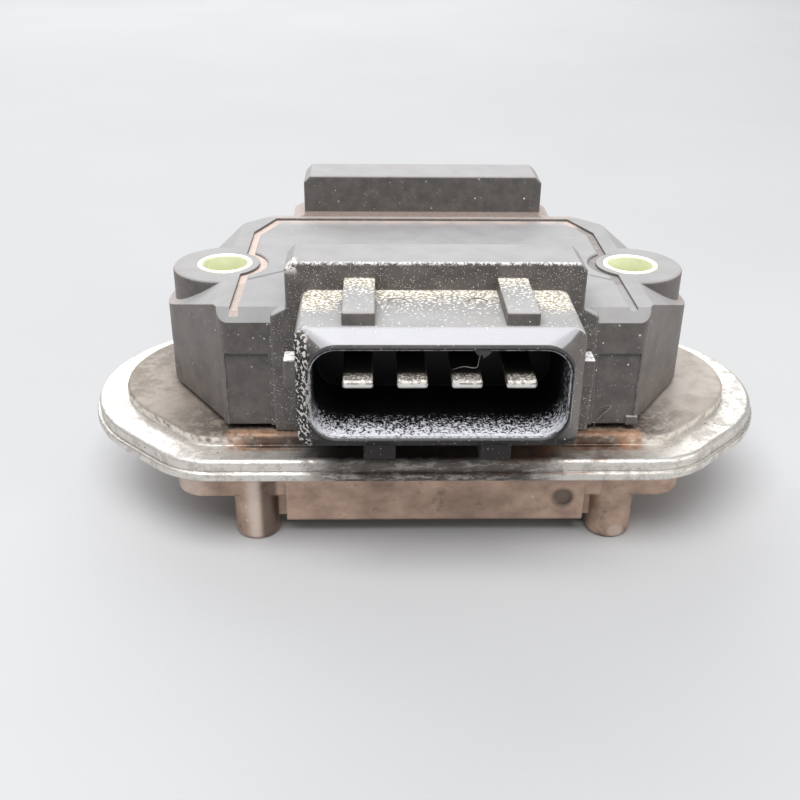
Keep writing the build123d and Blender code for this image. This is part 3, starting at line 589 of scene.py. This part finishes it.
def add_front_shadow_and_oil(s, aside, below, colour):
    """Painted shadow under the hood, and dark oil streaks, in the middle of the plate's front. Also returns
    where they are.
    """
    front = s.step(s.y, PAD_FRONT + 1.2, PAD_FRONT + 0.4)
    under_hood = s.times(front, s.step(s.y, PLATE_FRONT + 0.55, PLATE_FRONT + 1.3),
                         s.step(aside, 16.5, 12.0))
    oil = s.times(s.step(s.y, PLATE_FRONT + 1.8, PLATE_FRONT - 0.2), s.step(aside, 14.5, 8.5),
                  s.less(below), s.step(s.noise(1.1, 6.0, 0.8, stretch=(0.5, 1, 2)), 0.42, 0.52))
    # painted shadow on the plate under the hood, broken up by noise
    painted_shadow = s.times(under_hood, s.step(s.noise(1.4, 5.0), 0.2, 0.5, 0.8, 0.97))
    dark = s.plus(painted_shadow, s.times(oil, 0.85))
    colour = s.mix(s.times(dark, s.less(below)), colour, CASTING_SHADOW_AND_OIL)
    brown = s.times(front, s.between(s.x, 8.0, 17.5, 3.0), s.step(s.facing_z, 0.3, 0.8),
                    s.step(s.noise(1.6, 5.0), 0.35, 0.6))
    return s.mix(s.times(brown, 0.6), colour, RUSTY_FILM), dark


def oily_underside(s, worn):
    """Tan oily metal below the plate, with a mark on its front fins, and painted highlights and shade on its
    posts and ledge.
    """
    drift = s.step(s.noise(3.2, 5.0, 0.6, stretch=(0.6, 1, 0.9)), 0.22, 0.74)
    oily = s.mix(drift, *OIL_TAN)
    oily = s.mix(s.step(s.noise(2.0, 5.0, 0.7), 0.55, 0.72, 0.0, 0.55), oily, OIL_DARK)
    oily = s.mix(s.specks(1.1, 0.20, 0.08, 0.2), oily, OIL_SPECKS)
    near_front = s.step(s.y, -10.0, -13.0)
    mark = s.times(s.disc(POST_X - 5.1, -4.4, 0.9, 0.6), near_front)
    oily = s.mix(s.times(mark, 0.75), oily, EJECTOR_MARK)
    posts = s.step(s.z, -1.6, -2.6)
    # painted shade on the right side of the left post
    shade = s.times(s.between(s.x, -POST_X + 1.4, -POST_X + 2.6, 0.6), near_front)
    oily = s.mix(s.times(shade, posts, 0.75), oily, POST_SHADE)
    # painted highlights: a streak down the left post, a patch on the right post's chipped foot and one on
    # the left ledge
    post_highlight = s.times(s.between(s.x, -POST_X + 0.35, -POST_X + 0.5, 1.1), near_front,
                     s.step(s.noise(1.4), 0.2, 0.5, 0.6, 1))
    chip = s.times(s.disc(POST_X + 1.0, POST_FOOT + 0.9, 0.6, 0.6), near_front)
    ledge = s.times(s.step(s.x, -PLATE_END + 15.8, -PLATE_END + 11.8), s.step(s.noise(1.8, 4.0), 0.3, 0.6))
    bright = s.plus(s.times(post_highlight, posts, 0.8), s.times(chip, 0.45), s.times(ledge, 0.6))
    oily = s.mix(bright, oily, POST_HIGHLIGHT)
    return s.mix(s.times(worn, s.step(s.noise(0.6), 0.4, 0.6, 0.1, 0.5)), oily, OIL_RUBBED)


def cast_aluminium():
    """Die-cast aluminium: rubbed bright on the rim, oily tan beneath, soil and rust by the housing."""
    s = Shader("cast_aluminium_worn")
    worn = s.rounded(0.25)
    aside = s.aside()
    below = s.step(s.z, 0.12, -0.05)
    on_pad = s.step(s.z, PLATE_TOP + 0.15, PLATE_TOP + 0.5)
    rim, bare = rim_metal(s, aside)
    colour = add_rust(s, aside, s.mix(on_pad, rim, pad_dirt(s, aside)))
    colour, dark = add_front_shadow_and_oil(s, aside, below, colour)
    colour = s.mix(below, colour, oily_underside(s, worn))

    shine = s.times(s.less(on_pad), s.less(dark), s.less(below), bare)
    metallic = s.blend(below, s.blend(shine, 0.25, 0.85), 0.62)
    roughness = s.blend(below, s.blend(shine, 0.62, 0.40), s.blend(s.noise(1.0), 0.36, 0.50))
    s.raise_by(s.noise(1.6, 5.0, 0.6), 0.12)
    s.raise_by(s.noise(0.30, 3.0, 0.7), 0.03)
    return s.finish(colour, roughness, metallic)


def chromate_steel():
    """Yellow-green chromated steel, with painted light making it brightest on the turned end."""
    s = Shader("yellow_chromate")
    s.rounded(0.1)
    colour = s.mix(s.noise(1.2, 4.0), (0.80, 0.84, 0.42), (0.97, 0.98, 0.72))
    # painted light: paler towards the top end
    pale = s.step(s.z, bushing_high.z - 3.0, bushing_high.z - 0.2)
    colour = s.mix(s.times(pale, 0.7), colour, (1.0, 1.0, 0.86))
    ring = s.between(s.z, bushing_high.z - 4.6, bushing_high.z - 3.4, 0.5)
    colour = s.mix(s.times(ring, 0.65), colour, (0.42, 0.47, 0.10))
    s.raise_by(s.noise(0.15, 3.0, stretch=(1, 1, 6)), 0.012)
    return s.finish(colour, s.blend(s.noise(0.5), 0.26, 0.42), 0.45)


def blade_tin():
    """Dull tin, clean on the cut end, soiled on top behind it and in painted shadow further back."""
    s = Shader("blade_tin_soiled")
    s.rounded(0.16)
    colour = s.mix(s.noise(0.8, 5.0), (0.60, 0.58, 0.54), (0.88, 0.87, 0.84))
    up = s.step(s.facing_z, 0.4, 0.9)
    # painted shadow on the blade's faces further back in the socket
    socket_shadow = s.times(s.step(s.facing_y, -0.6, -0.3), s.step(s.y, BLADE_TIP + 0.9, BLADE_TIP + 2.0))
    # the soil mask also carries the painted shadow
    soil = s.plus(s.times(up, s.step(s.noise(0.4, 4.0, 0.8), 0.42, 0.56, 0.6, 0.97)), socket_shadow)
    colour = s.mix(soil, colour, s.mix(s.noise(0.2, 3.0), (0.045, 0.034, 0.024), (0.26, 0.215, 0.165)))
    colour = s.mix(socket_shadow, colour, (0.010, 0.009, 0.008))
    crumbs = s.times(up, s.less(socket_shadow), s.grains(0.30, 0.42))
    colour = s.mix(crumbs, colour, (0.72, 0.69, 0.62))
    smear = s.times(s.step(s.z, BLADE_TOP - 0.42, BLADE_TOP - 0.22), s.less(up), s.grains(0.45, 0.5))
    colour = s.mix(s.times(smear, 0.8), colour, (0.10, 0.085, 0.07))
    roughness = s.blend(soil, s.blend(s.noise(0.2), 0.28, 0.42), 0.75)
    s.raise_by(s.noise(0.10, 3.0, 0.7), 0.02)
    return s.finish(colour, roughness, s.blend(soil, 0.9, 0.05))


def metal(name, low, high, roughness=(0.25, 0.42)):
    """Clean metal with a faint drift of colour and fine drawing marks."""
    s = Shader(name)
    colour = s.mix(s.noise(1.5, 4.0), low, high)
    s.raise_by(s.noise(0.12, 2.0, stretch=(6, 6, 1)), 0.01)
    return s.finish(colour, s.blend(s.noise(0.4, 3.0), *roughness), 1.0)


def dull(name, low, high, roughness=0.6, size=0.8):
    """A mottled surface for the sealed pieces."""
    s = Shader(name)
    colour = s.mix(s.noise(size, 5.0), low, high)
    s.raise_by(s.noise(size / 4, 3.0), 0.01)
    return s.finish(colour, s.blend(s.noise(size / 3, 3.0), roughness - 0.08, roughness + 0.08))


def paint(material, *nodes):
    """Puts one material on CAD nodes."""
    for node in nodes:
        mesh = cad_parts[node].data
        mesh.materials.clear()
        mesh.materials.append(material)


def paint_everything():
    channels = range(1, 4)
    paint(housing_plastic(), "housing")
    paint(cover_plastic(), "cover")
    paint(bead_adhesive(), "cover_bead")
    paint(cast_aluminium(), "heat_sink")
    paint(chromate_steel(), "left_bushing", "right_bushing")
    paint(blade_tin(), *(f"signal_terminal_{i}" for i in range(1, 5)))
    tin = metal("clean_tin", (0.62, 0.60, 0.56), (0.82, 0.80, 0.77))
    paint(tin, "print_pads", *(f"coil_terminal_{i}" for i in channels))
    paint(dull("adhesive_grey", (0.16, 0.13, 0.11), (0.28, 0.24, 0.21), 0.75), "base_bead", "substrate_glue")
    paint(metal("rolled_aluminium", (0.72, 0.72, 0.71), (0.84, 0.84, 0.83)), "base_plate")
    paint(dull("thermal_paste_white", (0.78, 0.78, 0.76), (0.88, 0.88, 0.86)), "thermal_paste")
    paint(dull("alumina_fired", (0.84, 0.83, 0.80), (0.93, 0.92, 0.89), 0.5), "ceramic_substrate")
    copper = metal("copper_spreader", (0.62, 0.34, 0.22), (0.76, 0.46, 0.32))
    paint(copper, *(f"heat_spreader_{i}" for i in channels))
    silicon = dull("silicon_die", (0.16, 0.17, 0.20), (0.28, 0.29, 0.33), 0.25)
    paint(silicon, *(f"power_die_{i}" for i in channels))
    paint(dull("chip_epoxy", (0.02, 0.02, 0.02), (0.05, 0.05, 0.05), 0.55), "driver_chip")
    chips = dull("chip_ceramic_brown", (0.35, 0.27, 0.19), (0.52, 0.42, 0.31), 0.4)
    paint(chips, "chip_resistors", "chip_capacitors")
    paint(metal("aluminium_wire", (0.78, 0.78, 0.77), (0.90, 0.90, 0.89)), "signal_wires", "coil_wires")
    paint(dull("silicone_gel_soft", (0.70, 0.70, 0.64), (0.82, 0.82, 0.76), 0.2), "silicone_gel")


# ---------------------------------------------------------------- lint and torn flash
# the flash's outline in x and z, from the third blade's middle and the front socket's roof
FLASH_OUTLINE = [(0.35, 0.25), (0.60, -0.18), (0.92, -0.42), (1.16, -0.33), (1.32, -0.72),
                 (1.52, -0.50), (1.80, -0.30), (2.12, 0.12), (1.70, 0.40), (1.00, 0.46)]
FLASH_FRONT, FLASH_BACK = 0.12, 0.95    # behind the rim
FLASH_UNEVEN = 0.12
FLASH_BULGE = 0.08
FLASH_SEED = 3

# the fibre's knots, from the third blade's middle, the rim and the front socket's roof
FIBRE_KNOTS = [(1.00, 0.15, -0.30), (0.80, 0.10, -1.25), (0.92, 0.45, -1.75), (0.30, 0.75, -1.95),
               (-0.20, 1.0, -1.80), (-0.90, 1.3, -2.15), (-1.40, 1.5, -2.49)]
FIBRE_RADIUS = 0.03

# the hair's knots, from the right end of the front flange, its face and the pad's top
HAIR_KNOTS = [(0.45, 0.42, 0.15), (0.75, 0.27, 1.10), (1.25, 0.32, 1.75), (1.90, 0.22, 2.35),
              (2.30, 0.32, 2.95), (1.65, 0.42, 2.80), (0.80, 0.42, 2.45)]
HAIR_RADIUS = 0.035


def moved(points, origin):
    """The points, given from an origin, as vectors in the part's frame."""
    return [Vector(point) + Vector(origin) for point in points]


def add_object(name, data):
    obj = bpy.data.objects.new(name, data)
    bpy.context.scene.collection.objects.link(obj)
    return obj


def add_strand(name, knots, radius):
    """A thin fibre along the knots, as a mesh tube that tapers to its ends."""
    data = bpy.data.curves.new(name, "CURVE")
    data.dimensions = "3D"
    data.bevel_depth = radius * MM
    data.bevel_resolution = 2
    data.use_fill_caps = True
    spline = data.splines.new("NURBS")
    spline.points.add(len(knots) - 1)
    for i, (point, knot) in enumerate(zip(spline.points, knots)):
        point.co = (*(knot * MM), 1.0)
        point.radius = 0.35 + math.sin(math.pi * i / (len(knots) - 1))
    spline.order_u = 4
    spline.use_endpoint_u = True
    curve = add_object(name, data)
    mesh = bpy.data.meshes.new_from_object(curve.evaluated_get(bpy.context.evaluated_depsgraph_get()))
    bpy.data.objects.remove(curve)
    return add_object(name, mesh)


def add_flash():
    """A torn scrap of moulding flash on the socket's lip: an uneven front, a smaller back."""
    rng = random.Random(FLASH_SEED)
    outline = moved([(x, 0, z) for x, z in FLASH_OUTLINE], (THIRD_BLADE_X, RIM_Y, SOCKET_ROOF))
    front = [p + Vector((0, FLASH_FRONT + rng.uniform(0, FLASH_UNEVEN), 0)) for p in outline]
    back = [Vector((p.x * 0.98 + 0.08, RIM_Y + FLASH_BACK, p.z * 0.985 + 0.2)) for p in outline]
    count = len(outline)
    middle = sum(front, Vector()) / count - Vector((0, FLASH_BULGE, 0))
    verts = [v * MM for v in (*front, *back, middle)]
    faces = [(i, (i + 1) % count, count + (i + 1) % count, count + i) for i in range(count)]
    faces += [((i + 1) % count, i, 2 * count) for i in range(count)]
    faces.append(tuple(range(count, 2 * count)))
    mesh = bpy.data.meshes.new("torn_flash")
    mesh.from_pydata(verts, [], faces)
    return add_object("torn_flash", mesh)


def add_small_pieces():
    """What hangs on the signal socket and the front panel."""
    flash = add_flash()
    black = dull("flash_black", (0.010, 0.010, 0.011), (0.045, 0.042, 0.040), 0.5, 0.3)
    fibre_knots = moved(FIBRE_KNOTS, (THIRD_BLADE_X, RIM_Y, SOCKET_ROOF))
    fibre = add_strand("socket_fibre", fibre_knots, FIBRE_RADIUS)
    hair = add_strand("panel_hair", moved(HAIR_KNOTS, (FLANGE_HALF, FLANGE_Y, PAD_TOP)), HAIR_RADIUS)
    lint = dull("lint_grey", (0.10, 0.09, 0.08), (0.32, 0.29, 0.26), 0.8, 0.3)
    for piece, material in ((flash, black), (fibre, lint), (hair, lint)):
        piece.data.materials.append(material)
        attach(piece, "root")


# ---------------------------------------------------------------- stage, in metres
FLOOR_HALF = 2.0
FLOOR_GREYS = (0.43, 0.43, 0.435), (0.47, 0.47, 0.47)
SKY_COLOUR = (0.96, 0.98, 1.0, 1.0)
SKY_STRENGTH = 0.40
LAMP_TARGET = Vector((0, 0, 0.008))
# name, place, width and height, power in watts, colour
LAMPS = [
    ("window_behind", (-0.12, 0.55, 0.34), (0.9, 0.42), 4.1, (0.97, 0.985, 1.0)),
    ("panel_above", (-0.05, -0.22, 0.46), (0.45, 0.30), 3.6, (0.97, 0.98, 1.0)),
    ("side_fill", (0.55, -0.30, 0.25), (0.3, 0.3), 1.2, (1.0, 0.97, 0.94)),
]

CAMERA_PLACE = Vector((-5.881, -105.72, 55.132)) * MM
CAMERA_TURNS = ("Z", -1.567), ("X", 62.43), ("Z", 0.673)    # degrees, the last one first
CAMERA_LENS = 45.55
SENSOR_WIDTH = 36.0
CLIP_NEAR, CLIP_FAR = 0.004, 20.0


def make_floor():
    z = box_low.z * MM
    corners = [(x * FLOOR_HALF, y * FLOOR_HALF, z) for x, y in ((-1, -1), (1, -1), (1, 1), (-1, 1))]
    mesh = bpy.data.meshes.new("floor")
    mesh.from_pydata(corners, [], [(0, 1, 2, 3)])
    s = Shader("floor_paper")
    s.raise_by(s.noise(0.5, 3.0), 0.02)
    mesh.materials.append(s.finish(s.mix(s.noise(60.0, 3.0), *FLOOR_GREYS), 0.9))
    add_object("floor", mesh)


def make_lamp(name, place, size, power, colour):
    """A soft rectangular lamp that looks at the middle of the object."""
    data = bpy.data.lights.new(name, "AREA")
    data.shape = "RECTANGLE"
    data.size, data.size_y = size
    data.energy = power
    data.color = colour
    lamp = add_object(name, data)
    lamp.location = place
    lamp.rotation_euler = (LAMP_TARGET - lamp.location).to_track_quat("-Z", "Y").to_euler()


def make_lights():
    world = bpy.data.worlds.new("studio")
    world.use_nodes = True
    background = world.node_tree.nodes["Background"].inputs
    background["Color"].default_value = SKY_COLOUR
    background["Strength"].default_value = SKY_STRENGTH
    bpy.context.scene.world = world
    for lamp in LAMPS:
        make_lamp(*lamp)


def make_camera():
    """Looks at the object from the photograph's angle."""
    data = bpy.data.cameras.new("view")
    data.sensor_width = SENSOR_WIDTH
    data.lens = CAMERA_LENS
    data.clip_start, data.clip_end = CLIP_NEAR, CLIP_FAR
    camera = add_object("view", data)
    turn = Matrix.Identity(4)
    for axis, degrees in CAMERA_TURNS:
        turn = turn @ Matrix.Rotation(math.radians(degrees), 4, axis)
    camera.matrix_world = Matrix.Translation(CAMERA_PLACE) @ turn
    bpy.context.scene.camera = camera


add_small_pieces()
make_camera()
make_floor()
make_lights()
paint_everything()
bpy.context.scene.view_settings.view_transform = "Standard"
